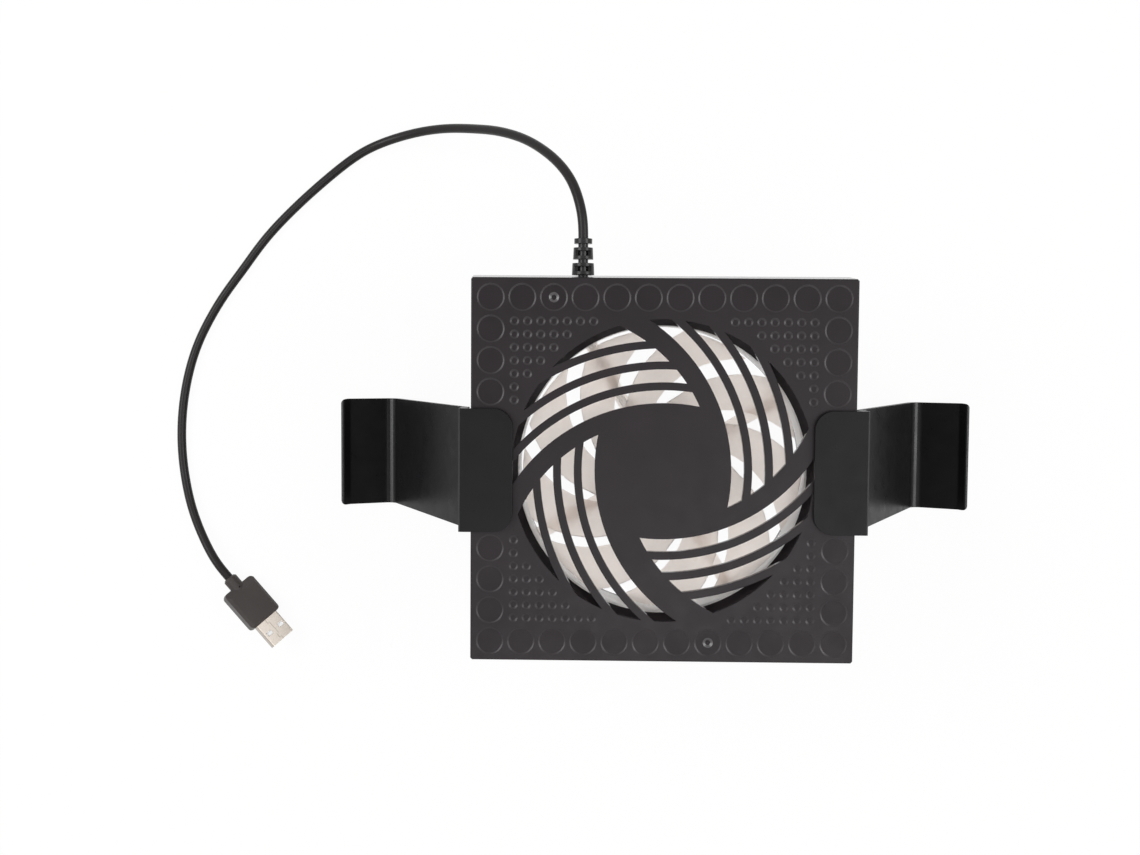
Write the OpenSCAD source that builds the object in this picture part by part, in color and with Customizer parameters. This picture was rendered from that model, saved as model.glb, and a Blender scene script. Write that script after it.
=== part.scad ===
// Clip-on cooling fan for a square game console.
// A square cover with a swirl grille holds a 120 mm fan over the vents in the console's top.
// Two side hooks clip over its edges to hold a headset or controller, and a short lead ends in a plug.
// Millimetres, +Z up. It stands on the bends of its two hooks, and the lead leaves on the +Y side.

/* [Housing] */
// Side of the square top plate
case_w = 151; // [148:0.5:160]
// How far each side wall leans out on its way down to the base
case_flare = 2.4; // [0:0.1:4]
// Thickness of the side walls
wall_t = 2.2; // [1.6:0.1:2.6]
// Thickness of the top plate and its ribs
top_t = 2.5; // [2:0.1:3]
// Thickness of the base plate
base_t = 3; // [2.8:0.1:4]
// Room between the top plate and the fan below it
grille_room = 4.5; // [3:0.1:6]
// Cut across the upright edges
edge_cut = 0.5; // [0.4:0.1:2]
// Bevel round the top plate
bevel = 0.5; // [0.2:0.1:1]
// Radius of the screw bosses in the corners
boss_r = 3.6; // [3.2:0.1:4]
// Thickness of the wall that leads from the grille to the fan
skirt_t = 1.8; // [1.2:0.1:2.4]
// Inner radius of that wall where it meets the fan
skirt_r = 57.2; // [57:0.1:58.5]
// Radius of the rubber feet
foot_r = 6; // [4:0.25:6.5]
// Thickness of the rubber feet
foot_t = 2; // [1.5:0.1:3]
// How deep the rubber feet sit in the base plate
foot_deep = 0.8; // [0.4:0.1:1.2]
// Distance between the feet along Y
foot_pitch = 100; // [70:1:105]

/* [Swirl grille] */
// Radius of the round air opening
opening_r = 59.5; // [58.5:0.1:61]
// Radius of the closed disc in the middle
disc_r = 26.8; // [22:0.1:29]
// Number of slots between two arms
slot_n = 4; // [3:1:4]
// Width of the slots
slot_w = 5.05; // [4:0.05:5.3]
// Width of the ribs between the slots
rib_w = 3.1; // [2.4:0.05:3.6]
// Distance from the fan's axis to the centre that the ribs are drawn about
rib_c = 44; // [40:0.1:48]
// Width of the four arms where they leave the disc
arm_w = 6.8; // [5:0.1:9]
// How much smaller the radius of an arm's inner edge is than that of its outer edge
arm_taper = 7.2; // [4:0.1:9]
// Angle between the centres of an arm's two edges
arm_skew = 0.9; // [0:0.1:4]
// How much wider one of the four arms is than the other three
wide_arm = 4.9; // [0:0.1:7]
// Turn of the whole swirl
swirl_turn = 0.6; // [-10:0.1:10]

/* [Cover pattern] */
// Diameter of the round recesses along the edges
spot_d = 10.9; // [9:0.1:11.2]
// Number of round recesses along each edge
spot_n = 12; // [8:1:12]
// Distance from the plate's edge to the centres of the recesses
spot_in = 7.7; // [7:0.1:8.5]
// Depth of the round recesses
spot_deep = 0.25; // [0.2:0.05:0.6]
// Width of the sloping edge of the round recesses
spot_wall = 0.65; // [0.3:0.05:1]
// Diameter of the small dots in the corners
dot_d = 3.6; // [2.4:0.1:4]
// Distance between neighbouring dots
dot_pitch = 5.15; // [4.6:0.05:5.3]
// Distance from the plate's edges to the dot nearest the corner
dot_in = 17; // [16:0.1:18]
// Depth of the small dots
dot_deep = 0.3; // [0.2:0.05:0.6]
// Width of the sloping edge of the small dots
dot_wall = 0.8; // [0.3:0.05:1.1]
// Diameter of the two moulding gates
gate_d = 4; // [3:0.1:5]
// Depth of the moulding gates below the floor of their recess
gate_deep = 0.5; // [0.3:0.05:0.8]
// Width of the sloping edge of the moulding gates
gate_wall = 1; // [0.4:0.05:1.2]
// Diameter of the nub in a moulding gate
nub_d = 1.1; // [0.5:0.1:1.2]
// Height of the nub in a moulding gate
nub_h = 0.3; // [0.1:0.05:0.3]

/* [Fan frame] */
// Side of the square fan frame
fan_w = 120; // [119:0.5:124]
// Depth of the fan frame
fan_h = 20; // [19:0.5:24]
// Radius of the duct that the blades turn in
duct_r = 57; // [55:0.25:57.5]
// Wall of the duct
duct_wall = 1.8; // [1.2:0.1:2]
// Widening of the duct's mouth
bell = 1; // [0.4:0.1:1.2]
// Depth of the duct's mouth
bell_h = 3; // [2:0.1:4]
// Thickness of the two corner flanges
flange_t = 4; // [3:0.1:5]
// Radius of the frame's corners
flange_r = 4; // [2:0.1:6]
// Distance between neighbouring fixing holes
hole_pitch = 105; // [103:0.5:107]
// Width of the struts that carry the motor
strut_w = 5; // [4:0.1:7]
// Height of the struts
strut_h = 2.5; // [2.3:0.1:3]
// Depth of the struts' seats in the wall of the duct
strut_seat = 0.9; // [0.6:0.1:1.1]
// Angle of the first strut
strut_turn = 30; // [20:1:40]
// Radius of the plate under the motor
motor_r = 21.5; // [20:0.25:24]
// Thickness of the plate under the motor
motor_t = 2; // [1.6:0.1:2.2]
// Radius of the bearing tube
tube_r = 4.2; // [3.9:0.05:4.6]
// Radius of the shoulder on the bearing tube
shoulder_r = 5.2; // [4.8:0.05:5.6]
// Height of that shoulder above the motor plate
shoulder_h = 3.2; // [2.9:0.1:3.6]

/* [Fan wheel] */
// Radius of the hub
hub_r = 20.5; // [20:0.1:22]
// Wall of the hub
hub_wall = 1.7; // [1.2:0.1:2]
// Thickness of the hub's top
hub_top = 2; // [1.5:0.1:2.5]
// Depth of the hub's top below the frame's top
hub_sink = 1.5; // [0.5:0.1:2.5]
// Room between the motor plate and the hub
hub_room = 2.5; // [2.2:0.1:3.5]
// Radius of the boss that holds the shaft
shaft_boss_r = 4; // [3:0.1:4.4]
// Height of that boss below the hub's top
shaft_boss_h = 2.3; // [1.6:0.1:2.6]
// Number of blades
blade_n = 9; // [5:1:11]
// Thickness of the blades
blade_t = 1.6; // [1:0.1:2]
// Gap between neighbouring blades seen from above, in degrees
blade_gap = 11; // [6:0.5:18]
// Sweep of the blades, in degrees for each millimetre outward
blade_sweep = 1.42; // [0:0.02:1.6]
// Camber of the blades, as a share of their drop
blade_camber = 0.08; // [0:0.01:0.12]
// Depth of the blades' upper edge below the frame's top
blade_sink = 2.5; // [2:0.1:4]
// Gap between the blade tips and the duct
tip_gap = 1.2; // [0.8:0.1:2.5]
// Extra angle of the blades at their root
root_step = 3.3; // [0:0.1:5]
// Radius where that root ends
root_r = 29.5; // [26:0.25:34]
// Turn of the wheel at rest
wheel_turn = 17; // [0:1:40]

/* [Motor] */
// Radius of the shaft
shaft_r = 1.5; // [1.2:0.05:1.6]
// Outer radius of the bearing
bearing_r = 3; // [2.7:0.05:3.2]
// Outer radius of the iron core
core_r = 15.7; // [14.5:0.1:15.9]
// Height of the iron core
core_h = 6; // [4.5:0.1:6.4]
// Width of the necks of the core
neck_w = 3.2; // [2.5:0.1:4]
// Half the angle that each pole shoe covers
shoe_half = 36; // [28:1:40]
// Thickness of a winding round its neck
coil_t = 1.4; // [0.8:0.1:1.5]
// Thickness of the ring magnet
magnet_t = 1.55; // [1.2:0.05:1.7]
// Thickness of the steel cup
yoke_t = 0.97; // [0.7:0.01:1.1]
// Thickness of the drive board
board_t = 1.2; // [0.8:0.1:1.4]
// Outer radius of the drive board
board_r = 17; // [15.5:0.1:18]
// Diameter of the two wires inside the housing
wire_d = 1.2; // [0.8:0.1:1.3]
// Thickness of the cap under the bearing
cap_t = 1; // [0.6:0.1:1.2]
// Thickness of the clip on the shaft
clip_t = 0.4; // [0.3:0.05:0.5]
// Thickness of the washer above that clip
washer_t = 0.3; // [0.2:0.05:0.4]

/* [Hooks] */
// Width of the hooks
hook_w = 48.5; // [40:0.5:56]
// How far the clip reaches over the top plate
lap = 16.6; // [14:0.1:20]
// Thickness of the clip on the top plate
lap_t = 2.5; // [2:0.1:3.5]
// Radius of the clip's inner corners
lap_r = 7.5; // [4:0.25:10]
// Bevel of the clip's outer edge
lap_bevel = 0.6; // [0.2:0.1:1.2]
// Thickness of the clip beside the housing
clip_wall = 3; // [2.5:0.1:4]
// Distance from the top plate down to where the strap turns outward
hook_drop = 13; // [12.5:0.1:16]
// Lean of the strap from upright
lean = 26; // [18:0.5:30]
// Length of the strap
strap_len = 91.5; // [84:0.5:110]
// Thickness of the strap
strap_t = 2; // [1.5:0.1:2.6]
// Inner radius of the bend at the strap's foot
bend_r = 4; // [3:0.1:6]
// Length of the shelf from the bend to the lip
shelf_len = 20.4; // [14:0.1:26]
// Inner radius of the bend at the lip
lip_bend_r = 1.5; // [1:0.1:3]
// Turn of the lip from the shelf
lip_turn = 34; // [20:1:60]
// Length of the lip
lip_len = 3; // [2:0.1:9]
// Radius of the hook's outer corners
end_r = 2.5; // [1:0.1:6]
// Width of the tongue that enters the housing's side
tongue_w = 28; // [20:0.5:34]
// Thickness of the tongue
tongue_t = 2; // [1.4:0.1:2.4]
// Reach of the tongue from the clip's inner face
tongue_len = 9; // [6:0.25:12]
// Depth of the tongue's middle below the top plate
tongue_drop = 9.5; // [8.5:0.1:10.5]

/* [Lead] */
// Diameter of the lead
cable_d = 4; // [3:0.1:4.5]
// Place of the lead's exit along X
relief_x = -32; // [-34:0.5:-28]
// Depth of the lead's exit below the top plate
relief_drop = 15; // [13:0.25:17]
// Diameter of the strain relief's first block
relief_d = 9; // [7:0.1:10]
// Length of that block
relief_len = 4.6; // [3.5:0.1:6]
// Diameter of the neck between the blocks
relief_neck = 4; // [3.6:0.1:5]
// Length of each neck between the blocks
relief_gap = 1.6; // [1:0.1:2.5]
// How much each block of the strain relief narrows to its far end
relief_draft = 0.4; // [0:0.1:0.6]
// How much narrower the second block is than the first
relief_less = 0.9; // [0:0.1:1.5]
// Share of a block's width that its windows take
relief_open = 0.74; // [0.6:0.01:0.8]
// Thickness of the ring at the strain relief's tip
relief_ring = 2; // [1:0.1:3]
// Diameter of that ring
relief_ring_d = 7.2; // [6:0.1:8]

/* [Plug] */
// Angle of the plug as it lies
plug_turn = -49; // [-90:1:0]
// Roll of the plug as its lead holds it
plug_roll = 34; // [0:1:40]
// Length of the plug's collar behind the grip
neck_len = 5.25; // [4:0.25:9]
// Radius of that collar
neck_r = 3.3; // [2.8:0.1:3.6]
// Diameter of the small hole in the collar
neck_hole = 0.8; // [0.5:0.1:1.2]
// Length of the plug's grip
grip_len = 20.5; // [16:0.25:26]
// Width of the plug's grip
grip_w = 16.4; // [14.5:0.1:18]
// Thickness of the plug's grip
grip_h = 8; // [6.5:0.1:9]
// Bevel of the grip's edges
grip_bevel = 1.3; // [0.4:0.1:1.5]
// Length of the slope at the back of the grip
shoulder_len = 3.4; // [2:0.1:5]
// Fall of that slope
shoulder_fall = 2.2; // [1:0.1:3]
// Width of the metal shell
shell_w = 12; // [11:0.1:12.5]
// Height of the metal shell
shell_h = 4.5; // [4.2:0.05:4.8]
// Sheet thickness of the metal shell
shell_t = 0.3; // [0.25:0.01:0.4]
// Length of the metal shell in front of the grip
shell_out = 12; // [10:0.1:14]
// Length of the metal shell inside the grip
shell_in = 6; // [4:0.1:8]
// Width of the holes in the shell
hole_w = 2.7; // [2:0.1:3]
// Length of the holes in the shell
hole_len = 2; // [1.5:0.1:2.6]
// Distance from the shell's middle to the middle of each hole
hole_mid = 3.3; // [2:0.1:3.6]
// Sideways step of the shell's seam
seam_step = 1; // [0:0.1:1.5]
// Thickness of the plastic tongue in the shell
insert_t = 1.9; // [1.6:0.05:2]

/* [Screws and clearances] */
// Thread radius of the fan's screws
fan_screw_r = 2.1; // [1.6:0.05:2.2]
// Head radius of the fan's screws
fan_head_r = 3.8; // [3.2:0.1:4]
// Thread radius of the case screws
case_screw_r = 1.4; // [1.2:0.05:1.5]
// Head radius of the case screws
case_head_r = 2.8; // [2.4:0.1:3]
// Height of the screw heads
head_h = 1.4; // [1:0.1:1.5]
// Length of the case screws' threads
case_screw_len = 11; // [8:0.25:14]
// Clearance between pieces that slide or sit beside each other
fit = 0.3; // [0.2:0.05:0.4]
// Clearance between pieces that are pressed together
press = 0.03; // [0.01:0.01:0.05]
// Clearance between the shaft and its bearing
run = 0.05; // [0.02:0.01:0.09]
// Clearance round the screws and under the clips
ease = 0.1; // [0.05:0.01:0.15]

/* [Hidden] */
$fn = 64;
cut = 1;

// Heights, from the hooks' bends on the floor up to the top plate
strap_foot_z = bend_r + strap_t - bend_r * sin(lean) + (strap_len - bend_r) * cos(lean);
top_z = strap_foot_z + hook_drop;
fan_top = top_z - top_t - grille_room;
fan_bot = fan_top - fan_h;
base_z = fan_bot - base_t;
case_h = top_z - base_z;

// Half widths of the housing at any height
function out_half(z) = case_w / 2 + case_flare * (top_z - z) / case_h;
function in_half(z) = out_half(z) - wall_t;

// Corner bosses, feet and fixing holes
boss_at = case_w / 2 - wall_t - boss_r + 1;
foot_at = in_half(base_z) - foot_r - 2 * fit - 0.6;
hole_at = hole_pitch / 2;
fan_hole_r = fan_screw_r + ease;

// Hooks
clip_in = out_half(top_z - hook_drop) + 2 * fit;
clip_out = clip_in + clip_wall;

// Fan wheel and motor, from the frame's bottom upward
motor_top = fan_bot + motor_t;
hub_z = fan_top - hub_sink;
hub_bot = motor_top + hub_room;
hub_under = hub_z - hub_top;
blade_hi = fan_top - blade_sink;
blade_lo = hub_bot + 0.2;
tip_r = duct_r - tip_gap;
tube_top = hub_under - shaft_boss_h - 0.7;
core_z = motor_top + shoulder_h;
yoke_r = hub_r - hub_wall - press;
magnet_r = yoke_r - yoke_t - press;
shaft_bot = fan_bot + cap_t + 0.8;
groove_z = shaft_bot + 0.6;
washer_z = groove_z + clip_t + 2 * ease;
bearing_z = washer_z + washer_t + 2 * ease;
groove_r = shaft_r - 0.4;
shoe_t = 2;
coil_in = tube_r + 2.6;
coil_out = core_r - shoe_t - 0.4;

// Parts on the drive board: their distance from the axis, their sides and their heights
part_at = 9;
driver = 4;
driver_h = 1.2;
sensor = 3;
sensor_h = 0.8;

// Lead and plug
relief_z = top_z - relief_drop;
relief_flange = 1.5;
relief_y = out_half(relief_z) + fit + 0.3;
relief_tip = relief_y + 2 * relief_len + 2 * relief_gap + relief_ring;
wire_turn = strut_turn + 90;
wire_z = fan_bot + strut_h + wire_d / 2 + ease;
plug_at = [-196.1, -59.5];
plug_z = (grip_w / 2 - grip_bevel) * sin(plug_roll) + grip_h / 2 * cos(plug_roll);
shell_x = neck_len + grip_len;
insert_low = shell_h / 2 - shell_t - 2 * press - insert_t;
tongue_back = 0.5;
strip_w = 1;
strip_t = 0.2;

// Places of the seam's steps, as shares of the shell's length in front of the grip
seam_steps = [0, 0.16, 0.68, 0.86, 1.1];

// Route of the lead: out of its sleeve, down to the floor and round to the plug
lead_route = [
    [-33, 104, 81], [-36, 114, 77], [-43, 124, 70], [-55, 134, 57], [-68, 140, 44],
    [-80, 143, 32], [-93, 145, 21], [-106, 145, 12], [-119, 143, 5], [-131, 139, 2],
    [-142, 132, 2], [-161, 116, 2], [-178, 99, 2], [-190, 83, 2], [-201, 68, 2],
    [-212, 47, 2], [-218, 23, 2], [-219, -2, 2], [-214.6, -26.8, 3.2], [-206.5, -45.6, 5.4]
];

// Number of dots in each row of a corner, from the plate's edge inward
dot_rows = [7, 5, 4, 3, 2, 1, 1];

// A point on a smooth curve through four points, at t between the middle two
function curve_point(a, b, c, d, t) =
    0.5 * (2 * b + (c - a) * t + (2 * a - 5 * b + 4 * c - d) * t * t
        + (3 * b - a - 3 * c + d) * t * t * t);

// A smooth curve through all points, in steps between each two
function curve(p, steps) = [
    for (i = [0 : len(p) - 2])
        for (s = [0 : steps - 1])
            curve_point(p[max(i - 1, 0)], p[i], p[i + 1], p[min(i + 2, len(p) - 1)], s / steps),
    p[len(p) - 1]
];

// A path that goes no lower than z
function on_floor(p, z) = [for (q = p) [q[0], q[1], max(q[2], z)]];

// Direction of a path at one of its points
function heading(p, i) =
    let (d = p[min(i + 1, len(p) - 1)] - p[max(i - 1, 0)])
    d / norm(d);

// A round tube along a path, with its first corner downward
module tube_along(path, r, sides) {
    rings = len(path);
    points = [
        for (i = [0 : rings - 1])
            let (
                d = heading(path, i),
                side = cross(d, [0, 0, 1]) / norm(cross(d, [0, 0, 1])),
                up = cross(side, d)
            )
            for (k = [0 : sides - 1])
                path[i] + r * (sin(360 * k / sides) * side - cos(360 * k / sides) * up)
    ];
    walls = [
        for (i = [0 : rings - 2])
            for (k = [0 : sides - 1])
                let (a = i * sides + k, b = i * sides + (k + 1) % sides)
                each [[a, b, b + sides], [a, b + sides, a + sides]]
    ];
    first = [for (k = [1 : sides - 2]) [0, k + 1, k]];
    end = (rings - 1) * sides;
    last = [for (k = [1 : sides - 2]) [end, end + k, end + k + 1]];
    polyhedron(points, concat(walls, first, last));
}

// A solid ring standing on z
module ring(r_out, r_in, z, h) {
    translate([0, 0, z])
        difference() {
            cylinder(h = h, r = r_out);
            translate([0, 0, -cut])
                cylinder(h = h + 2 * cut, r = r_in);
        }
}

// A cylinder standing on z
module post(r, z, h) {
    translate([0, 0, z])
        cylinder(h = h, r = r);
}

// Copies its children to the four corners of a square
module at_corners(half) {
    for (x = [-half, half], y = [-half, half])
        translate([x, y, 0])
            children();
}

// A rectangle with round corners
module soft_rect(w, d, r) {
    square([w - 2 * r, d], center = true);
    square([w, d - 2 * r], center = true);
    for (x = [-1, 1], y = [-1, 1])
        translate([x * (w / 2 - r), y * (d / 2 - r)])
            circle(r);
}

// A prism along Y with sloping sides, wide w0 at z0 and w1 at z1, with its upper edges bevelled
module slope(w0, w1, z0, z1, b) {
    rotate([90, 0, 0])
        linear_extrude(2 * case_w, center = true)
            polygon([
                [-w0 / 2, z0], [w0 / 2, z0], [w1 / 2, z1 - b],
                [w1 / 2 - b, z1], [b - w1 / 2, z1], [-w1 / 2, z1 - b]
            ]);
}

// A square block that narrows upward, with bevelled top and upright edges
module taper_block(w0, w1, z0, z1, b, corner) {
    intersection() {
        slope(w0, w1, z0, z1, b);
        rotate(90)
            slope(w0, w1, z0, z1, b);
        rotate(45)
            slope(w0 * sqrt(2) - corner, w1 * sqrt(2) - corner, z0, z1, b);
        rotate(135)
            slope(w0 * sqrt(2) - corner, w1 * sqrt(2) - corner, z0, z1, b);
    }
}

// One slot of the swirl, from the innermost to the outermost, beside an arm that is wider by more
module swirl_slot(i, more) {
    inner = disc_r + rib_c + i * (slot_w + rib_w);
    intersection() {
        difference() {
            circle(opening_r);
            circle(disc_r);
            translate([0, -rib_c])
                circle(inner);
        }
        if (i < slot_n - 1)
            translate([0, -rib_c])
                circle(inner + slot_w);
        rotate(arm_skew)
            translate([-(rib_c + arm_w + more - arm_taper), 0])
                circle(disc_r + rib_c - arm_taper);
    }
}

// All slots of the grille
module swirl() {
    for (turn = [0 : 90 : 270])
        rotate(turn + swirl_turn)
            for (i = [0 : slot_n - 1])
                linear_extrude(top_t + cut)
                    swirl_slot(i, turn == 180 ? wide_arm : 0);
}

// Room of a recess with a sloping edge, wide d at height z
module dish(d, wall, deep, z) {
    translate([0, 0, z - deep])
        cylinder(h = 2 * deep, d1 = d - 2 * wall, d2 = d + 2 * wall);
}

// Round recesses along the four edges, two of them with a moulding gate
module spots() {
    first = case_w / 2 - spot_in;
    pitch = 2 * first / (spot_n - 1);
    for (turn = [0 : 90 : 270], i = [0 : spot_n - 2])
        rotate(turn)
            translate([i * pitch - first, first, 0])
                dish(spot_d, spot_wall, spot_deep, top_z);
    for (gate = [[2, 1], [7, -1]])
        translate([gate[0] * pitch - first, gate[1] * first, 0])
            difference() {
                dish(gate_d, gate_wall, gate_deep, top_z - spot_deep);
                post(nub_d / 2, top_z - spot_deep - gate_deep - cut, nub_h + cut);
            }
}

// Small dots in the four corners
module dots() {
    first = case_w / 2 - dot_in;
    for (x = [-1, 1], y = [-1, 1], row = [0 : len(dot_rows) - 1], i = [0 : dot_rows[row] - 1])
        translate([x * (first - i * dot_pitch), y * (first - row * dot_pitch), 0])
            dish(dot_d, dot_wall, dot_deep, top_z);
}

// Square cover with the grille, its skirt and the corner bosses
module top_cover() {
    roof = top_z - top_t;
    boss_z = base_z + base_t;
    color("#3a383a")
        difference() {
            union() {
                difference() {
                    taper_block(2 * out_half(base_z), case_w, base_z, top_z, bevel, 2 * edge_cut);
                    taper_block(2 * in_half(base_z - cut), 2 * in_half(roof), base_z - cut, roof, 0, 0);
                }
                rotate_extrude()
                    polygon([
                        [opening_r + fit, roof], [skirt_r, fan_top + fit],
                        [skirt_r + skirt_t, fan_top + fit],
                        [opening_r + skirt_t + fit, roof], [opening_r + skirt_t + fit, roof + cut],
                        [opening_r + fit, roof + cut]
                    ]);
                at_corners(boss_at)
                    post(boss_r, boss_z, roof - boss_z + cut);
            }
            translate([0, 0, roof])
                swirl();
            spots();
            dots();
            at_corners(boss_at)
                post(case_screw_r + ease, boss_z - cut, case_screw_len + cut);
            for (side = [-1, 1])
                translate([side * case_w / 2, 0, top_z - tongue_drop])
                    cube([6 * wall_t, tongue_w + 2 * fit, tongue_t + 2 * fit], center = true);
            translate([relief_x, 0, relief_z])
                rotate([-90, 0, 0])
                    cylinder(h = case_w, d = relief_neck + 2 * ease);
        }
}

// Plate that closes the cover from below, with its air opening and screw holes
module base_plate() {
    low = 2 * (in_half(base_z) - fit);
    high = 2 * (in_half(base_z + base_t) - fit);
    color("#343234")
        difference() {
            taper_block(low, high, base_z, base_z + base_t, 0, 0);
            post(duct_r, base_z - cut, base_t + 2 * cut);
            at_corners(boss_at) {
                post(case_screw_r + 2 * ease, base_z - cut, base_t + 2 * cut);
                post(case_head_r + fit, base_z - cut, head_h + ease + cut);
            }
            at_corners(hole_at) {
                post(fan_screw_r + 2 * ease, base_z - cut, base_t + 2 * cut);
                post(fan_head_r + fit, base_z - cut, head_h + ease + cut);
            }
            for (x = [-foot_at, foot_at], y = [-foot_pitch / 2, foot_pitch / 2])
                translate([x, y, 0])
                    post(foot_r + ease, base_z - cut, foot_deep + cut);
        }
}

// A screw with its head downward and a cross in the head
module screw(r, head_r, length) {
    z = base_z + ease;
    difference() {
        union() {
            post(head_r, z, head_h);
            post(r, z, head_h + length);
        }
        for (turn = [0, 90])
            rotate(turn)
                translate([-head_r / 2, -head_h / 4, z - cut])
                    cube([head_r, head_h / 2, cut + head_h / 2]);
    }
}

// Four screws that hold the base plate to the cover
module case_screws() {
    color("#8f9094")
        at_corners(boss_at)
            screw(case_screw_r, case_head_r, case_screw_len - 1);
}

// Four screws that hold the fan frame to the base plate
module fan_screws() {
    color("#8f9094")
        at_corners(hole_at)
            screw(fan_screw_r, fan_head_r, base_t - head_h + flange_t);
}

// Four pads that rest on the console
module rubber_feet() {
    color("#202022")
        for (x = [-foot_at, foot_at], y = [-foot_pitch / 2, foot_pitch / 2])
            translate([x, y, base_z + foot_deep])
                rotate_extrude()
                    polygon([
                        [0, 0], [foot_r, 0], [foot_r, -foot_t + foot_t / 4],
                        [foot_r - foot_t / 4, -foot_t], [0, -foot_t]
                    ]);
}

// A part of a ring between two angles less than a half turn apart
module arc_band(r_in, r_out, from, to) {
    reach = 2 * r_out;
    intersection() {
        difference() {
            circle(r_out);
            circle(r_in);
        }
        polygon([
            [0, 0], reach * [cos(from), sin(from)],
            reach * [cos((from + to) / 2), sin((from + to) / 2)], reach * [cos(to), sin(to)]
        ]);
    }
}

// Points of an arc, in steps of about ten degrees
function arc(centre, r, from, to) =
    let (steps = ceil(abs(to - from) / 10))
    [
        for (i = [0 : steps])
            let (a = from + (to - from) * i / steps)
            centre + r * [cos(a), sin(a)]
    ];

// A point of the leaning strap, from its own frame at the foot of the clip
function on_strap(p) = [
    clip_out + p[0] * cos(lean) - p[1] * sin(lean),
    strap_foot_z + p[0] * sin(lean) + p[1] * cos(lean)
];

// Outline of the hook seen along Y, with X outward and Y upward
function hook_outline() =
    let (
        lap_x = case_w / 2 - lap,
        lap_z = top_z + ease,
        bend = [bend_r, bend_r - strap_len],
        lip = [shelf_len, lip_bend_r - strap_len],
        lip_way = [cos(lip_turn), sin(lip_turn)],
        lip_end = 270 + lip_turn,
        clip_low = [[lap_x, lap_z], [clip_in, lap_z], [clip_in, strap_foot_z]],
        outer = concat(
            [[-strap_t, strap_t * tan(lean)]],
            arc(bend, bend_r + strap_t, 180, 270),
            arc(lip, lip_bend_r + strap_t, 270, lip_end)
        ),
        inner = concat(
            arc(lip, lip_bend_r, lip_end, 270),
            arc(bend, bend_r, 270, 180),
            [[0, 0]]
        ),
        lip_mid = lip + (lip_bend_r + strap_t / 2) * [cos(lip_end), sin(lip_end)] + lip_len * lip_way,
        lip_tip = arc(lip_mid, strap_t / 2, lip_end, lip_end + 180),
        clip_high = [
            [clip_out, lap_z + lap_t - lap_bevel], [clip_out - lap_bevel, lap_z + lap_t],
            [lap_x, lap_z + lap_t]
        ]
    )
    concat(clip_low, [for (p = concat(outer, lip_tip, inner)) on_strap(p)], clip_high);

// Cuts a round corner of radius r off the +X +Y corner at the origin
module corner_cut(r, z, h) {
    translate([0, 0, z])
        linear_extrude(h)
            difference() {
                translate([-r, -r])
                    square(r + cut);
                translate([-r, -r])
                    circle(r);
            }
}

// Clip, strap, shelf and lip of one hook, on the +X side
module hook() {
    outline = hook_outline();
    reach = max([for (p = outline) p[0]]);
    difference() {
        union() {
            rotate([90, 0, 0])
                linear_extrude(hook_w, center = true)
                    polygon(outline);
            translate([clip_in - tongue_len, -tongue_w / 2, top_z - tongue_drop - tongue_t / 2])
                cube([tongue_len + clip_wall / 2, tongue_w, tongue_t]);
        }
        for (y = [0, 1])
            mirror([0, y, 0]) {
                translate([case_w / 2 - lap, hook_w / 2, 0])
                    mirror([1, 0, 0])
                        corner_cut(lap_r, top_z, lap_t + cut);
                translate([reach, hook_w / 2, 0])
                    corner_cut(end_r, -cut, strap_len / 2);
            }
    }
}

// Hook on the right side
module right_hook() {
    color("#2b2b2c")
        hook();
}

// Hook on the left side
module left_hook() {
    color("#2b2b2c")
        mirror([1, 0, 0])
            hook();
}

// Repeats a strut at its four angles
module at_struts() {
    for (turn = [0 : 90 : 270])
        rotate(strut_turn + turn)
            children();
}

// White frame of the fan: two flanges round a duct, with pockets for the ends of the struts
module fan_frame() {
    color("#f2f1ee")
        difference() {
            union() {
                for (z = [fan_bot, fan_top - flange_t])
                    translate([0, 0, z])
                        linear_extrude(flange_t)
                            soft_rect(fan_w, fan_w, flange_r);
                post(duct_r + duct_wall, fan_bot, fan_h);
            }
            post(duct_r, fan_bot - cut, fan_h + 2 * cut);
            translate([0, 0, fan_top - bell_h])
                cylinder(h = bell_h, r1 = duct_r, r2 = duct_r + bell);
            at_corners(hole_at)
                post(fan_hole_r, fan_bot - cut, fan_h + 2 * cut);
            at_struts()
                translate([duct_r - cut, -strut_w / 2 - press, fan_bot - cut])
                    cube([cut + strut_seat + press, strut_w + 2 * press, cut + strut_h + press]);
            rotate(wire_turn)
                translate([duct_r - cut, -1.5 * wire_d, fan_bot + strut_h])
                    cube([fan_w / 4, 3 * wire_d, 2 * wire_d]);
        }
}

// White motor mount: round plate with the bearing tube, on four struts that sit in the frame
module motor_mount() {
    color("#f2f1ee")
        difference() {
            union() {
                at_struts()
                    translate([shoulder_r, -strut_w / 2, fan_bot])
                        cube([duct_r + strut_seat - shoulder_r, strut_w, strut_h]);
                post(motor_r, fan_bot, motor_t);
            }
            post(board_r + fit, motor_top, strut_h);
            post(bearing_r + press, fan_bot - cut, fan_h);
        }
    color("#f2f1ee") {
        ring(shoulder_r, bearing_r + press, fan_bot, motor_t + shoulder_h);
        ring(tube_r, bearing_r + press, core_z - cut, tube_top - core_z + cut);
    }
}

// Angle of a blade's two edges at radius r
function blade_edge(r, side) =
    180 / blade_n + blade_sweep * (hub_r - r) + side * (360 / blade_n - blade_gap) / 2
        + max(side, 0) * root_step * max(0, min(1, (root_r + 1 - r) / 2));

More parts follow.
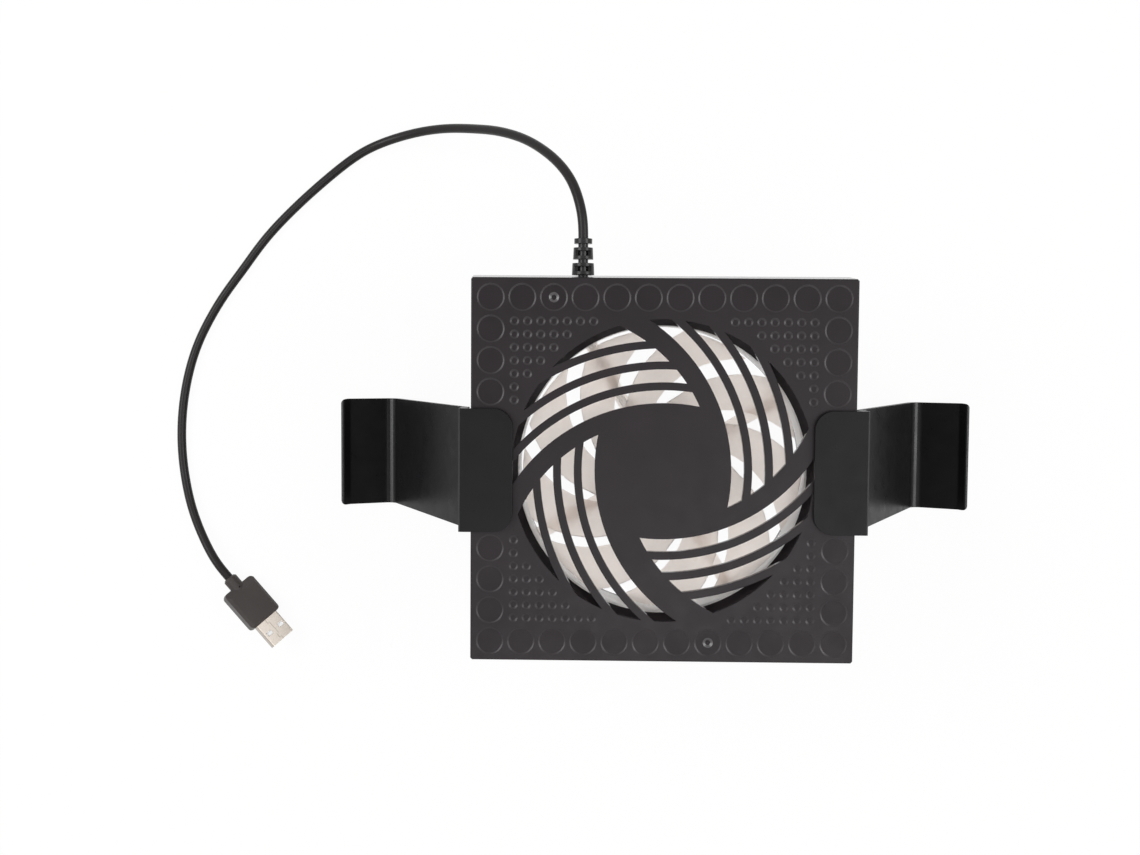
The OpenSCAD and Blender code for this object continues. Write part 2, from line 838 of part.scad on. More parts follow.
// One swept blade between radius r0 and r1, lowest at its leading edge
module blade(r0, r1) {
    across = 5;
    out = 10;
    deep = 1.2 * blade_t;
    rise = blade_hi - blade_lo - deep;
    top = [
        for (k = [0 : out], i = [0 : across])
            let (
                r = r0 + (r1 - r0) * k / out,
                u = i / across,
                a = blade_edge(r, -1) + (blade_edge(r, 1) - blade_edge(r, -1)) * u
            )
            [r * cos(a), r * sin(a), blade_lo + deep + rise * (u + blade_camber * sin(180 * u))]
    ];
    row = across + 1;
    under = [
        for (k = [0 : out], i = [0 : across])
            top[k * row + i] - [0, 0, deep * (0.5 + 0.5 * sin(180 * i / across))]
    ];
    n = len(top);
    skins = [
        for (k = [0 : out - 1], i = [0 : across - 1])
            let (a = k * row + i)
            each [
                [a, a + 1, a + row + 1], [a, a + row + 1, a + row],
                [n + a, n + a + row + 1, n + a + 1], [n + a, n + a + row, n + a + row + 1]
            ]
    ];
    ends = [
        for (i = [0 : across - 1])
            let (b = out * row + i)
            each [[i, n + i, n + i + 1], [i, n + i + 1, i + 1],
                [b, n + b + 1, n + b], [b, b + 1, n + b + 1]]
    ];
    edges = [
        for (k = [0 : out - 1])
            let (a = k * row, b = k * row + across)
            each [[a, n + a + row, n + a], [a, a + row, n + a + row],
                [b, n + b, n + b + row], [b, n + b + row, b + row]]
    ];
    polyhedron(concat(top, under), concat(skins, ends, edges));
}

// Fan wheel with its hub and nine blades
module impeller() {
    sides = 4 * blade_n;
    rim = [for (k = [0 : sides - 1]) hub_r * [cos(360 * (k + 0.5) / sides), sin(360 * (k + 0.5) / sides)]];
    color("#d8d2cd")
        rotate(wheel_turn) {
            difference() {
                translate([0, 0, hub_bot])
                    linear_extrude(hub_z - hub_bot)
                        polygon(rim);
                post(hub_r - hub_wall, hub_bot - cut, hub_under - hub_bot + cut);
                post(shaft_r + press, hub_bot, hub_z);
            }
            ring(shaft_boss_r, shaft_r + press, hub_under - shaft_boss_h, shaft_boss_h + hub_top / 2);
            for (i = [0 : blade_n - 1])
                rotate(360 / blade_n * i)
                    blade(hub_r - hub_wall / 2, tip_r);
        }
}

// Steel cup inside the hub
module rotor_yoke() {
    top = hub_under - press;
    color("#a7a8ab")
        rotate_extrude()
            polygon([
                [shaft_boss_r + fit, top], [yoke_r, top], [yoke_r, hub_bot + 0.5],
                [yoke_r - yoke_t, hub_bot + 0.5], [yoke_r - yoke_t, top - yoke_t],
                [shaft_boss_r + fit, top - yoke_t]
            ]);
}

// Ring magnet inside the cup
module magnet_ring() {
    z = hub_bot + 0.5;
    color("#3d3b3a")
        ring(magnet_r, magnet_r - magnet_t, z, hub_under - yoke_t - 2 * fit - z);
}

// Shaft with the groove for its clip
module rotor_shaft() {
    tip = 0.3;
    groove_h = clip_t + ease;
    color("#c9cacd")
        rotate_extrude()
            polygon([
                [0, shaft_bot], [shaft_r - tip, shaft_bot], [shaft_r, shaft_bot + tip],
                [shaft_r, groove_z], [groove_r, groove_z], [groove_r, groove_z + groove_h],
                [shaft_r, groove_z + groove_h], [shaft_r, hub_z - 0.2], [0, hub_z - 0.2]
            ]);
}

// Split ring in the shaft's groove
module shaft_clip() {
    color("#6f7074")
        difference() {
            ring(bearing_r - 0.5, groove_r + press, groove_z + ease / 2, clip_t);
            translate([0, -0.5, groove_z - cut])
                cube([bearing_r, 1, clip_t + 2 * cut]);
        }
}

// Washer between the bearing and the clip
module thrust_washer() {
    color("#e6e2d6")
        ring(bearing_r - 0.2, shaft_r + ease, washer_z, washer_t);
}

// Plain bearing in the frame's tube
module bearing_sleeve() {
    color("#b08d4f")
        ring(bearing_r, shaft_r + run, bearing_z, tube_top - 0.3 - bearing_z);
}

// Cap under the bearing
module bearing_cap() {
    color("#e9e8e4")
        post(bearing_r, fan_bot, cap_t);
}

// Four-pole iron core on the bearing tube
module stator_core() {
    bore = tube_r + press;
    color("#8b8c90")
        translate([0, 0, core_z])
            linear_extrude(core_h)
                difference() {
                    union() {
                        circle(tube_r + 2.2);
                        for (turn = [0 : 90 : 270])
                            rotate(turn + 45) {
                                translate([0, -neck_w / 2])
                                    square([core_r - shoe_t / 2, neck_w]);
                                arc_band(core_r - shoe_t, core_r, -shoe_half, shoe_half);
                            }
                    }
                    circle(bore);
                }
}

// Four windings on the core's necks
module stator_coils() {
    inner_w = neck_w + 2 * ease;
    inner_h = core_h + 2 * ease;
    color("#b4622f")
        for (turn = [0 : 90 : 270])
            rotate(turn + 45)
                translate([coil_in, 0, core_z + core_h / 2])
                    rotate([90, 0, 90])
                        linear_extrude(coil_out - coil_in)
                            difference() {
                                soft_rect(inner_w + 2 * coil_t, inner_h + 2 * coil_t, coil_t);
                                square([inner_w, inner_h], center = true);
                            }
}

// Drive board round the bearing tube, with its sensor
module motor_board() {
    color("#2f6b45")
        union() {
            ring(board_r, shoulder_r + fit, motor_top, board_t);
            translate([part_at, -driver / 2, motor_top])
                cube([driver, driver, board_t + driver_h]);
            translate([-part_at - sensor, -sensor / 2, motor_top])
                cube([sensor, sensor, board_t + sensor_h]);
        }
}

// Two thin wires from the sleeve down the frame's side and along a strut to the board
module lead_wires() {
    outward = [cos(wire_turn), sin(wire_turn), 0];
    aside = [-sin(wire_turn), cos(wire_turn), 0];
    floor_z = [0, 0, wire_z];
    start = in_half(relief_z) - 2 * fit - relief_flange;
    along = [72, 69, 60, 45, 30, board_r + 6, board_r + 3, board_r + press];
    for (side = [-1, 1]) {
        step = side * 0.65 * wire_d;
        path = concat(
            [
                [relief_x - step, start, relief_z],
                [relief_x - step, start - 1, relief_z],
                [relief_x - step, start - 2, relief_z],
                [relief_x - 1 - step, start - 4.5, relief_z - 2],
                [relief_x - 2.5 - step, start - 6.5, relief_z - 5]
            ],
            [for (r = along) r * outward + step * aside + floor_z]
        );
        color(side > 0 ? "#e6e3de" : "#cfccc8")
            tube_along(on_floor(curve(path, 2), wire_z), wire_d / 2, 8);
    }
}

// One block of the sleeve, open above and below so that its core shows
module relief_block(d, y) {
    difference() {
        translate([0, 0, y])
            cylinder(h = relief_len, d1 = d, d2 = d - relief_draft);
        for (face = [-1, 1])
            translate([0, face * d / 2, y + relief_len / 2])
                cube([relief_open * d, d - relief_neck / 4, relief_len / 2.2], center = true);
    }
}

// Segmented sleeve round the lead where it leaves the housing
module strain_relief() {
    flange_y = in_half(relief_z) - 2 * fit - relief_flange;
    block2 = relief_y + relief_len + relief_gap;
    color("#2c2b2b")
        translate([relief_x, 0, relief_z])
            rotate([-90, 0, 0])
                union() {
                    post(relief_neck / 2, flange_y, relief_tip - flange_y);
                    post(relief_d / 2, flange_y, relief_flange);
                    relief_block(relief_d, relief_y);
                    relief_block(relief_d - relief_less, block2);
                    post(relief_ring_d / 2, relief_tip - relief_ring, relief_ring);
                }
}

// The lead itself
module usb_cable() {
    exit = [relief_x, relief_tip, relief_z];
    plug_end = [plug_at[0], plug_at[1], plug_z];
    into_plug = cable_d * [cos(plug_turn), sin(plug_turn), 0];
    path = concat(
        [exit, exit + [0, cable_d, 0], exit + [0, 2 * cable_d, 0]],
        lead_route,
        [plug_end - 2 * into_plug, plug_end - into_plug, plug_end]
    );
    color("#3c3836")
        tube_along(on_floor(curve(path, 2), cable_d / 2), cable_d / 2, 8);
}

// Moves its children from the plug's own axis to where the plug lies
module at_plug() {
    translate([plug_at[0], plug_at[1], plug_z])
        rotate(plug_turn)
            rotate([-plug_roll, 0, 0])
                children();
}

// Block of the grip: sloped at its back, with bevelled edges
module grip_block() {
    w = grip_w / 2;
    h = grip_h / 2;
    b = grip_bevel;
    back = h - shoulder_fall;
    intersection() {
        translate([grip_len / 2, 0, -grip_h])
            linear_extrude(2 * grip_h)
                soft_rect(grip_len, grip_w, 1.5 * b);
        rotate([90, 0, 0])
            linear_extrude(2 * grip_w, center = true)
                polygon([
                    [0, -back], [shoulder_len, -h], [grip_len - b, -h], [grip_len, b - h],
                    [grip_len, h - b], [grip_len - b, h], [shoulder_len, h], [0, back]
                ]);
        rotate([90, 0, 90])
            linear_extrude(3 * grip_len, center = true)
                polygon([
                    [b - w, -h], [w - b, -h], [w, b - h], [w, h - b],
                    [w - b, h], [b - w, h], [-w, h - b], [-w, b - h]
                ]);
    }
}

// Moulded grip of the plug, with its collar
module plug_body() {
    soft = neck_r / 4;
    color("#4a4543")
        at_plug()
            difference() {
                union() {
                    translate([neck_len, 0, 0])
                        grip_block();
                    rotate([0, 90, 0])
                        cylinder(h = soft, r1 = neck_r - soft, r2 = neck_r);
                    rotate([0, 90, 0])
                        post(neck_r, soft, neck_len + shoulder_len - soft);
                }
                translate([shell_x - shell_in, -shell_w / 2 - press, -shell_h / 2 - press])
                    cube([shell_in + cut, shell_w + 2 * press, shell_h + 2 * press]);
                translate([neck_len + shoulder_len / 3, 0, neck_r / 2])
                    cylinder(h = neck_r, d = neck_hole, $fn = 24);
            }
}

// Metal shell of the plug, with two holes in each face and its stepped seam
module plug_shell() {
    seam_w = 2 * shell_t / 3;
    seam_z = (shell_h - shell_t) / 2;
    seam_at = [for (part = seam_steps) shell_in + part * shell_out];
    color("#e2d6cd")
        at_plug()
            translate([shell_x - shell_in + press, 0, 0])
                difference() {
                    rotate([90, 0, 90])
                        linear_extrude(shell_in - press + shell_out)
                            difference() {
                                soft_rect(shell_w, shell_h, 2 * shell_t);
                                soft_rect(shell_w - 2 * shell_t, shell_h - 2 * shell_t, shell_t);
                            }
                    for (y = [-hole_mid, hole_mid])
                        translate([shell_in + shell_out / 2, y, 0])
                            cube([hole_len, hole_w, 2 * shell_h], center = true);
                    for (i = [0 : 3])
                        translate([seam_at[i], (i % 2 - 1) * seam_step - seam_w / 2, seam_z])
                            cube([seam_at[i + 1] - seam_at[i] + seam_w, seam_w, shell_t]);
                    for (i = [1 : 3])
                        translate([seam_at[i], -seam_step - seam_w / 2, seam_z])
                            cube([seam_w, seam_step + seam_w, shell_t]);
                }
}

// Plastic tongue inside the shell
module plug_insert() {
    gap = shell_t + 2 * press;
    side = gap + shell_t;
    color("#e9e7e2")
        at_plug()
            translate([shell_x - shell_in + 2 * press, side - shell_w / 2, insert_low])
                cube([shell_in + shell_out - tongue_back, shell_w - 2 * side, insert_t]);
}

// Four contact strips on the tongue
module plug_contacts() {
    pitch = shell_w / 5;
    color("#c8a24a")
        at_plug()
            for (i = [-1.5, -0.5, 0.5, 1.5])
                translate([shell_x - shell_in + tongue_back, i * pitch - strip_w / 2, insert_low - strip_t])
                    cube([shell_in + shell_out - 5 * tongue_back, strip_w, strip_t]);
}

top_cover();
base_plate();
case_screws();
rubber_feet();
left_hook();
right_hook();
fan_frame();
motor_mount();
fan_screws();
impeller();
rotor_yoke();
magnet_ring();
rotor_shaft();
shaft_clip();
thrust_washer();
bearing_sleeve();
bearing_cap();
stator_core();
stator_coils();
motor_board();
lead_wires();
strain_relief();
usb_cable();
plug_body();
plug_shell();
plug_insert();
plug_contacts();
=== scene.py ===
"""Looks, lead, light and camera of the clip-on console cooling fan, around its fixed CAD frame."""

import math

import bpy
from mathutils import Matrix, Vector


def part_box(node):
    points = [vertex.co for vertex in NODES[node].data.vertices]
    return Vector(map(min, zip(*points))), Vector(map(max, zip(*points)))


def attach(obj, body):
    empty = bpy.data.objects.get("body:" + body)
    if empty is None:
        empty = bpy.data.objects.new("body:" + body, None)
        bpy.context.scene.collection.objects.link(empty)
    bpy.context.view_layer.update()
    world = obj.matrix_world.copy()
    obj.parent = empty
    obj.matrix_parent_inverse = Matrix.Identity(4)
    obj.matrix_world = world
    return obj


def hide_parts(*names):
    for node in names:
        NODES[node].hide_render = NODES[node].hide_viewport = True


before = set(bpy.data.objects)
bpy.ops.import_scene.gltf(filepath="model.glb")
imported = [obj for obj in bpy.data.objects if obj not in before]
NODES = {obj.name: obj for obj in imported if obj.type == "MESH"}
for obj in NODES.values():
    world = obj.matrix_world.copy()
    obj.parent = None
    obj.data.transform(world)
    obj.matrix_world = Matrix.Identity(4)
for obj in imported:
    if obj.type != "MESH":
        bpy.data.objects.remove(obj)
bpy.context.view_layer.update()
MM = 0.001

# Camera, fitted to the cover's edges and grille in the 1140 by 855 photograph
IMAGE_W = 1140
FOCAL_PX = 1319
SENSOR_MM = 36.0
CAMERA_AT = Vector((-26.9, 47.7, 611.7)) * MM
CAMERA_RIGHT = Vector((0.99979, 0.00693, -0.01906))
CAMERA_UP = Vector((-0.00805, 0.99821, -0.05929))

# Lead: its thickness and its route's points in millimetres, as the CAD has them, and the pieces
# at its two ends
CABLE_D = 4.0
LEAD_ROUTE = [
    (-33, 104, 81), (-36, 114, 77), (-43, 124, 70), (-55, 134, 57), (-68, 140, 44),
    (-80, 143, 32), (-93, 145, 21), (-106, 145, 12), (-119, 143, 5), (-131, 139, 2),
    (-142, 132, 2), (-161, 116, 2), (-178, 99, 2), (-190, 83, 2), (-201, 68, 2),
    (-212, 47, 2), (-218, 23, 2), (-219, -2, 2), (-214.6, -26.8, 3.2), (-206.5, -45.6, 5.4),
]

# Spacing of the points on the lead's curve in millimetres, and how often they are evened out
STEP_MM = 1.5
ROUNDS = 24

# Plug, as the CAD has it: where the lead enters it, its turn and its roll, and in millimetres
# the height of its metal shell and the depth of the shell's seam
PLUG_AT = Vector((-196.1, -59.5, 7.175))
PLUG_TURN = math.radians(-49)
PLUG_ROLL = math.radians(34)
SHELL_H = 4.5
SEAM_DEEP = 0.15

# Painted shade on the plug's shell: from the first of these parts of the seam's depth below its top and
# bottom faces its colour is darkened, and from the second it keeps its full colour, so its seam, the walls
# of its holes and its sides are painted darker; this share of its colour is left where the shade is
# painted
SEAM_PARTS = (0.8, 0.4)
PAINTED_SHADE_SHARE = 0.55

# Cover: depth of its round recesses, and the heights above their floors between which the shine
# rises to its full level, in millimetres
RECESS_DEEP = 0.25
RECESS_RISE = (0.01, 0.03)

# How level a face is goes from 0 for upright to 1 for flat. On the cover, gentle slopes start and
# end at these values, and up to a value between them they are the gate dimples' steeper ones.
SLOPES_FROM = (0.86, 0.88)
DIMPLES_TO = (0.9, 0.91)
SLOPES_TO = (0.96, 0.985)

# Specular levels of the cover, and the share of them that is left on the recesses' floors
COVER_FLAT = 0.2
COVER_SLOPE = 0.38
COVER_DIMPLE = 1.0
RECESS_SHARE = 0.86

# Specular levels of the hooks
HOOK_FLAT = 0.11
HOOK_BEND = 0.39
HOOK_STEEP = 0.045

# On the hooks, a face's distance from the middle times its outward lean, over which it comes to
# count as a bend, and how level a face is when it stops counting as steep
BEND_FROM = (2 * MM, 10 * MM)
STEEP_TO = (0.6, 0.7)

# Stretches of a noise over which colour and roughness change, and of how level a face is over
# which it stops counting as upright
TINT_SPAN = (0.35, 0.65)
POLISH_SPAN = (0.3, 0.7)
UPRIGHT_SPAN = (0.1, 0.5)

# Floor and surroundings: half the floor's side in metres, the part of the floor that the camera
# sees as plain white, and how strongly the surroundings light the object
FLOOR_HALF = 3.0
FLOOR_WHITE = 0.95
WORLD_LIGHT = 0.45

# Lamps: name, place and size in metres, power in watts
LAMPS = (
    ("left", (-1.05, 0.28, 1.1), (0.95, 0.72), 10.7),
    ("right", (1.05, 0.1, 1.1), (0.64, 0.72), 7.7),
    ("top", (0.2, -0.42, 1.6), (1.1, 0.6), 5),
)


def add_object(name, data):
    """A new object in the scene."""
    made = bpy.data.objects.new(name, data)
    bpy.context.scene.collection.objects.link(made)
    return made


def place_camera():
    """The photograph's camera: position, turn and focal length."""
    data = bpy.data.cameras.new("camera")
    data.sensor_width = SENSOR_MM
    data.lens = SENSOR_MM * FOCAL_PX / IMAGE_W
    data.clip_end = 20
    camera = add_object("camera", data)
    right = CAMERA_RIGHT.normalized()
    back = right.cross(CAMERA_UP).normalized()
    up = back.cross(right)
    turn = Matrix((right, up, back)).transposed()
    camera.matrix_world = Matrix.Translation(CAMERA_AT) @ turn.to_4x4()
    bpy.context.scene.camera = camera


def curve_point(a, b, c, d, t):
    """A point of the smooth curve through four points, between the middle two."""
    return 0.5 * (
        2 * b
        + (c - a) * t
        + (2 * a - 5 * b + 4 * c - d) * t * t
        + (3 * b - a - 3 * c + d) * t ** 3
    )


def even_out(path):
    """The path without small kinks: each point moves toward its neighbours, the ends stay."""
    for _ in range(ROUNDS):
        middle = [(a + 2 * b + c) / 4 for a, b, c in zip(path, path[1:], path[2:])]
        path = [path[0], *middle, path[-1]]
    return path


def smooth_route(points):
    """The smooth curve along all points, no lower than the floor lets the lead lie."""
    last = len(points) - 1
    out = []
    for i in range(last):
        four = [points[min(max(k, 0), last)] for k in range(i - 1, i + 3)]
        steps = max(2, round((four[2] - four[1]).length / STEP_MM))
        out += [curve_point(*four, s / steps) for s in range(steps)]
    out.append(points[last])
    return even_out([Vector((p.x, p.y, max(p.z, CABLE_D / 2))) for p in out])


def lead_path():
    """The lead's path in metres: straight out of its sleeve, along its route, straight into its plug."""
    low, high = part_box("strain_relief")
    leave = Vector(((low[0] + high[0]) / 2, high[1], (low[2] + high[2]) / 2)) / MM
    out = Vector((0, CABLE_D, 0))
    into = Vector((math.cos(PLUG_TURN), math.sin(PLUG_TURN), 0)) * CABLE_D
    points = [leave, leave + out, leave + 2 * out]
    points += [Vector(p) for p in LEAD_ROUTE]
    points += [PLUG_AT - 2 * into, PLUG_AT - into, PLUG_AT]
    return [p * MM for p in smooth_route(points)]


def lead_curve(path):
    """A round tube along a path. The points carry its radius, because they count in the object's box."""
    data = bpy.data.curves.new("lead", "CURVE")
    data.dimensions = "3D"
    data.bevel_depth = 1.0
    data.bevel_resolution = 6
    data.use_fill_caps = True
    spline = data.splines.new("POLY")
    spline.points.add(len(path) - 1)
    for point, place in zip(spline.points, path):
        point.co = (*place, 1)
        point.radius = CABLE_D / 2 * MM
    spline.use_smooth = True
    return add_object("lead", data)


def make_lead():
    """The lead as one curve from its sleeve to its plug."""
    path = lead_path()
    lead = lead_curve(path)
    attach(lead, "housing")
    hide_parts("usb_cable")
    return lead


class Shader:
    """A material's node tree with its Principled shader, and short ways to add to it."""

    def __init__(self, name, color, roughness, specular=0.5, metallic=0.0):
        self.material = bpy.data.materials.new(name)
        self.material.use_nodes = True
        self.tree = self.material.node_tree
        self.bsdf = self.tree.nodes["Principled BSDF"]
        self.set("Base Color", (*color, 1))
        self.set("Roughness", roughness)
        self.set("Specular IOR Level", specular)
        self.set("Metallic", metallic)
        coordinates = self.node("ShaderNodeTexCoord")
        self.place = coordinates.outputs["Object"]
        self.facing = coordinates.outputs["Normal"]

    def set(self, socket, value):
        """A value that is the same all over."""
        self.bsdf.inputs[socket].default_value = value

    def drive(self, socket, out):
        """A value that changes over the surface."""
        self.join(out, self.bsdf.inputs[socket])

    def node(self, kind, **inputs):
        """A new node with some of its inputs, whose names have _ for a space."""
        made = self.tree.nodes.new(kind)
        for name, value in inputs.items():
            made.inputs[name.replace("_", " ")].default_value = value
        return made

    def join(self, out, into):
        """A link from one node's output to another's input."""
        self.tree.links.new(out, into)

    def noise(self, scale, detail):
        """A noise with about so many spots to the metre."""
        made = self.node("ShaderNodeTexNoise", Scale=scale, Detail=detail)
        self.join(self.place, made.inputs["Vector"])
        return made.outputs["Fac"]

    def between(self, factor, start, end, low, high):
        """A number that goes from low to high while the factor goes from start to end."""
        made = self.node("ShaderNodeMapRange", From_Min=start, From_Max=end, To_Min=low, To_Max=high)
        self.join(factor, made.inputs["Value"])
        return made.outputs["Result"]

    def math(self, operation, *factors):
        """A sum, product or the like of one or two factors."""
        made = self.node("ShaderNodeMath")
        made.operation = operation
        for factor, into in zip(factors, made.inputs):
            self.join(factor, into)
        return made.outputs[0]

    def part(self, axis, vector):
        """One axis of a place or a direction."""
        split = self.node("ShaderNodeSeparateXYZ")
        self.join(vector, split.inputs[0])
        return split.outputs[axis]

    def along(self, direction, origin):
        """How far a place lies from an origin along a direction."""
        offset = self.node("ShaderNodeVectorMath")
        offset.operation = "SUBTRACT"
        offset.inputs[1].default_value = origin
        self.join(self.place, offset.inputs[0])
        made = self.node("ShaderNodeVectorMath")
        made.operation = "DOT_PRODUCT"
        made.inputs[1].default_value = direction
        self.join(offset.outputs["Vector"], made.inputs[0])
        return made.outputs["Value"]

    def level(self):
        """How level a face is: 1 for flat ones, 0 for upright ones."""
        return self.math("ABSOLUTE", self.part("Z", self.facing))

    def polish(self, factor, low, high, upright=1.0):
        """Roughness from a noise, with upright faces at the given share of it."""
        rough = self.between(factor, *POLISH_SPAN, low, high)
        if upright < 1:
            share = self.between(self.level(), *UPRIGHT_SPAN, upright, 1.0)
            rough = self.math("MULTIPLY", rough, share)
        self.drive("Roughness", rough)

    def tint(self, factor, dark, light):
        """Base colour from a noise, between two colours."""
        made = self.node("ShaderNodeValToRGB")
        for stop, position, color in zip(made.color_ramp.elements, TINT_SPAN, (dark, light)):
            stop.position = position
            stop.color = (*color, 1)
        self.join(factor, made.inputs["Fac"])
        self.drive("Base Color", made.outputs["Color"])

    def darken(self, share):
        """The base colour so far, times a share."""
        made = self.node("ShaderNodeVectorMath")
        made.operation = "SCALE"
        self.join(self.bsdf.inputs["Base Color"].links[0].from_socket, made.inputs[0])
        self.join(share, made.inputs["Scale"])
        self.drive("Base Color", made.outputs["Vector"])

    def grain(self, factor, strength, depth, edge):
        """A fine relief from a noise, over edges softened by a small radius."""
        bump = self.node("ShaderNodeBump", Strength=strength, Distance=depth)
        self.join(factor, bump.inputs["Height"])
        if edge:
            soft = self.node("ShaderNodeBevel", Radius=edge)
            soft.samples = 6
            self.join(soft.outputs["Normal"], bump.inputs["Normal"])
        self.drive("Normal", bump.outputs["Normal"])


def shade(color, factor):
    """A colour, lighter or darker by a factor."""
    return tuple(c * factor for c in color)


def moulded(
    name, color, roughness=0.4, specular=0.4, grain_mm=0.5, relief_mm=0.01, edge_mm=0.1, upright=1.0
):
    """A moulded plastic or rubber: fine spark-eroded grain, faint cloudiness and soft edges."""
    s = Shader(name, color, roughness, specular)
    s.tint(s.noise(45, detail=4), shade(color, 0.9), shade(color, 1.1))
    s.polish(s.noise(160, detail=3), roughness - 0.05, roughness + 0.05, upright)
    fine = s.noise(1 / (grain_mm * MM), detail=3)
    s.grain(fine, strength=0.35, depth=relief_mm * MM, edge=edge_mm * MM)
    return s


def metal(name, color, roughness=0.35, grain_mm=0.3, edge_mm=0.1):
    """A plated or bare metal with faint spots in its colour and polish."""
    s = Shader(name, color, roughness, metallic=1.0)
    s.tint(s.noise(900, detail=4), shade(color, 0.98), shade(color, 1.01))
    s.polish(s.noise(1500, detail=4), roughness * 0.95, roughness * 1.05)
    fine = s.noise(1 / (grain_mm * MM), detail=2)
    s.grain(fine, strength=0.1, depth=0.002 * MM, edge=edge_mm * MM)
    return s


def frosted(name, color):
    """Frosted plastic that lets most of the light through."""
    s = Shader(name, color, roughness=0.46, specular=0.4)
    s.tint(s.noise(60, detail=3), shade(color, 0.97), shade(color, 1.02))
    s.set("Transmission Weight", 0.85)
    s.set("IOR", 1.45)
    s.grain(s.noise(2500, detail=3), strength=0.25, depth=0.02 * MM, edge=0.3 * MM)
    return s


def charcoal_plastic():
    """The housing's plastic: slopes of recesses and dimples shine more, and recess floors less."""
    s = moulded(
        "charcoal_plastic", (0.0142, 0.0108, 0.0129), roughness=0.36, specular=0.22,
        grain_mm=0.28, relief_mm=0.02, edge_mm=0.25, upright=0.35,
    )
    level = s.level()
    gentle = s.between(level, *SLOPES_FROM, 0.0, 1.0)
    slope = s.math("MULTIPLY", gentle, s.between(level, *SLOPES_TO, 1.0, 0.0))
    dimple = s.math("MULTIPLY", gentle, s.between(level, *DIMPLES_TO, COVER_DIMPLE, 0.0))
    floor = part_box("top_cover")[1][2] - RECESS_DEEP * MM
    start, end = (floor + rise * MM for rise in RECESS_RISE)
    raised = s.between(s.part("Z", s.place), start, end, RECESS_SHARE, 1.0)
    shine = s.math("MULTIPLY", s.between(slope, 0.0, 1.0, COVER_FLAT, COVER_SLOPE), raised)
    s.drive("Specular IOR Level", s.math("MAXIMUM", shine, dimple))
    return s


def hook_plastic():
    """The hooks' plastic: bends, which lean a little outward, shine more, and steep faces less."""
    s = moulded(
        "black_hook_plastic", (0.0093, 0.0091, 0.0097), roughness=0.32, specular=HOOK_FLAT,
        grain_mm=0.35, relief_mm=0.002, edge_mm=0.3,
    )
    outward = s.math("MULTIPLY", s.part("X", s.place), s.part("X", s.facing))
    bend = s.between(outward, *BEND_FROM, HOOK_FLAT, HOOK_BEND)
    limit = s.between(s.level(), *STEEP_TO, HOOK_STEEP, HOOK_BEND)
    s.drive("Specular IOR Level", s.math("MINIMUM", bend, limit))
    return s


def plated_shell():
    """The plug's shell, with painted shade that darkens its seam, its holes and its sides."""
    s = metal("plated_shell", (0.79, 0.71, 0.63), roughness=0.25, grain_mm=0.4)
    turn = Matrix.Rotation(PLUG_TURN, 3, "Z") @ Matrix.Rotation(-PLUG_ROLL, 3, "X")
    height = s.math("ABSOLUTE", s.along(turn @ Vector((0, 0, 1)), PLUG_AT * MM))
    start, end = ((SHELL_H / 2 - share * SEAM_DEEP) * MM for share in SEAM_PARTS)
    # painted shade: the colour is darkened in the seam, on the holes' walls and on the shell's sides
    s.darken(s.between(height, start, end, PAINTED_SHADE_SHARE, 1.0))
    return s


def dress(shader, *names):
    """Gives CAD nodes a material."""
    for name in names:
        mesh = NODES[name].data
        mesh.materials.clear()
        mesh.materials.append(shader.material)


def dress_housing():
    """Materials of the cover, base, hooks, feet and sleeve."""
    dress(charcoal_plastic(), "top_cover", "base_plate")
    dress(hook_plastic(), "left_hook", "right_hook")
    rubber = moulded(
        "black_rubber", (0.0114, 0.0106, 0.0103), roughness=0.28, specular=0.27, edge_mm=0.2
    )
    dress(rubber, "rubber_feet", "strain_relief")


def dress_fan():
    """Materials of the fan, its motor and wires, and all screws."""
    white = moulded("white_plastic", (0.93, 0.925, 0.915), grain_mm=0.6, edge_mm=0.3)
    dress(white, "fan_frame", "thrust_washer", "bearing_cap")
    dress(frosted("frosted_plastic", (0.96, 0.885, 0.835)), "motor_mount", "impeller")
    dress(frosted("wire_jacket", (0.96, 0.955, 0.945)), "lead_wires")
    steel = metal("steel", (0.52, 0.52, 0.54), edge_mm=0.12)
    dress(steel, "case_screws", "fan_screws")
    dress(steel, "rotor_yoke", "rotor_shaft", "shaft_clip", "stator_core")
    ferrite = moulded("ferrite", (0.045, 0.043, 0.042), roughness=0.6, grain_mm=0.3, relief_mm=0.02)
    dress(ferrite, "magnet_ring")
    dress(metal("bronze", (0.48, 0.32, 0.13), roughness=0.45, grain_mm=0.2), "bearing_sleeve")
    dress(metal("copper", (0.55, 0.20, 0.08)), "stator_coils")
    dress(moulded("board", (0.03, 0.16, 0.06), roughness=0.35, specular=0.5), "motor_board")


def dress_lead(lead):
    """Materials of the lead and its plug."""
    jacket = moulded(
        "cable_jacket", (0.013, 0.0114, 0.0111), roughness=0.33, specular=0.2, grain_mm=0.8, edge_mm=0
    )
    lead.data.materials.append(jacket.material)
    grip = moulded(
        "grip_plastic", (0.0457, 0.0387, 0.0362), specular=0.3, grain_mm=0.6, relief_mm=0.08, edge_mm=0.25
    )
    dress(grip, "plug_body")
    dress(plated_shell(), "plug_shell")
    dress(moulded("insert_plastic", (0.9, 0.9, 0.91), grain_mm=0.4), "plug_insert")
    dress(metal("contact_metal", (0.75, 0.52, 0.18), roughness=0.25, edge_mm=0.05), "plug_contacts")


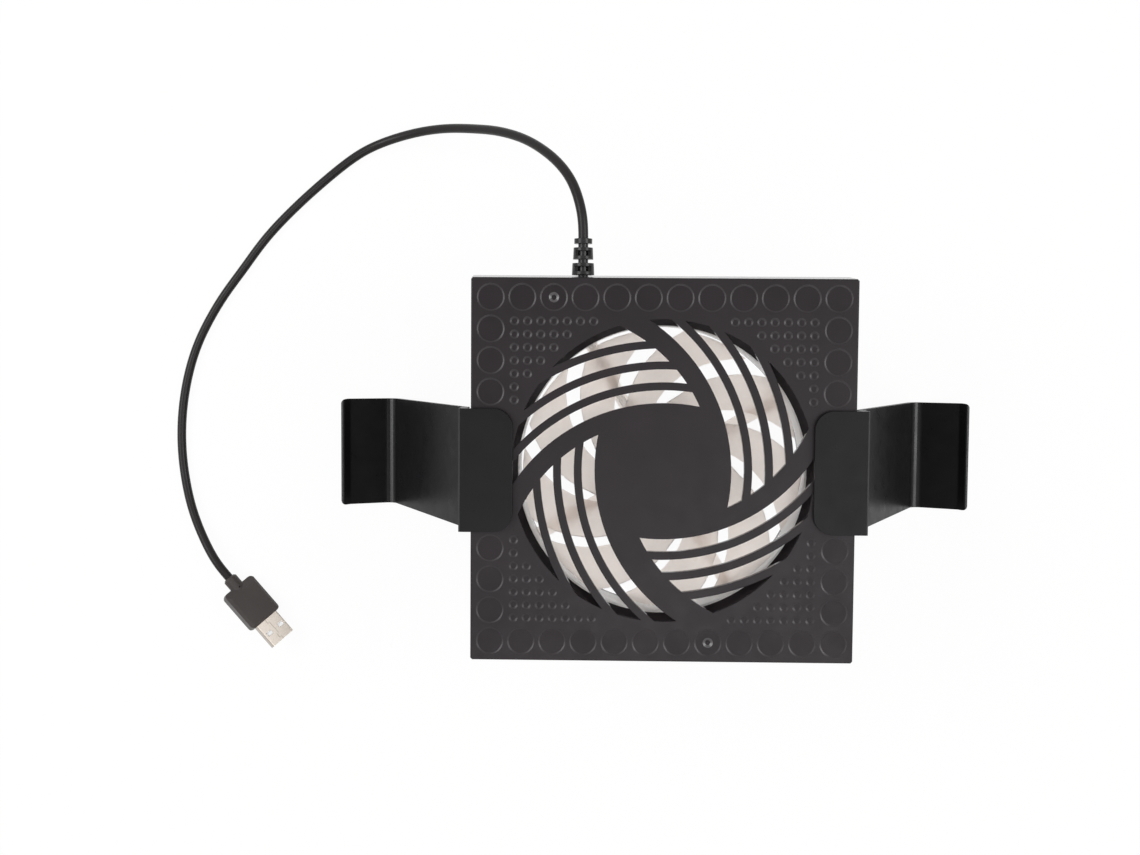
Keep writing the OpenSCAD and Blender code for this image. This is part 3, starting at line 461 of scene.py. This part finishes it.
def seen_white(tree, share):
    """The share for what the camera sees, directly, in metal or through plastic, and 0 for other light."""
    path = tree.nodes.new("ShaderNodeLightPath")
    seen = path.outputs["Is Camera Ray"]
    for kind in ("Is Glossy Ray", "Is Transmission Ray"):
        either = tree.nodes.new("ShaderNodeMath")
        either.operation = "MAXIMUM"
        tree.links.new(seen, either.inputs[0])
        tree.links.new(path.outputs[kind], either.inputs[1])
        seen = either.outputs[0]
    scaled = tree.nodes.new("ShaderNodeMath")
    scaled.operation = "MULTIPLY"
    scaled.inputs[1].default_value = share
    tree.links.new(seen, scaled.inputs[0])
    return scaled.outputs[0]


def make_floor():
    """A plain pale floor that keeps a soft shadow."""
    mesh = bpy.data.meshes.new("floor")
    corners = [(-1, -1), (1, -1), (1, 1), (-1, 1)]
    mesh.from_pydata([(x * FLOOR_HALF, y * FLOOR_HALF, 0) for x, y in corners], [], [(0, 1, 2, 3)])
    floor = add_object("floor", mesh)
    s = Shader("floor", (0.9, 0.9, 0.9), roughness=0.9, specular=0.0)
    glow = s.node("ShaderNodeEmission", Color=(1, 1, 1, 1), Strength=1.0)
    mix = s.node("ShaderNodeMixShader")
    s.join(seen_white(s.tree, FLOOR_WHITE), mix.inputs["Fac"])
    s.join(s.bsdf.outputs[0], mix.inputs[1])
    s.join(glow.outputs[0], mix.inputs[2])
    s.join(mix.outputs[0], s.tree.nodes["Material Output"].inputs["Surface"])
    mesh.materials.append(s.material)


def make_world():
    """Even pale surroundings, white where the camera sees them."""
    world = bpy.data.worlds.new("world")
    bpy.context.scene.world = world
    world.use_nodes = True
    tree = world.node_tree
    back = tree.nodes["Background"]
    back.inputs["Color"].default_value = (1, 1, 1, 1)
    strength = tree.nodes.new("ShaderNodeMapRange")
    strength.inputs["To Min"].default_value = WORLD_LIGHT
    strength.inputs["To Max"].default_value = 1.0
    tree.links.new(seen_white(tree, 1.0), strength.inputs["Value"])
    tree.links.new(strength.outputs["Result"], back.inputs["Strength"])


def make_lights():
    """A large soft light on either side, a little behind the object, and a weaker one above its front."""
    for name, place, size, power in LAMPS:
        data = bpy.data.lights.new(name, "AREA")
        data.shape = "RECTANGLE"
        data.size, data.size_y = size
        data.energy = power
        lamp = add_object(name, data)
        lamp.location = place
        lamp.rotation_euler = (-Vector(place)).to_track_quat("-Z", "Y").to_euler()


place_camera()
lead = make_lead()
dress_housing()
dress_fan()
dress_lead(lead)
make_floor()
make_world()
make_lights()
bpy.context.scene.view_settings.view_transform = "Standard"
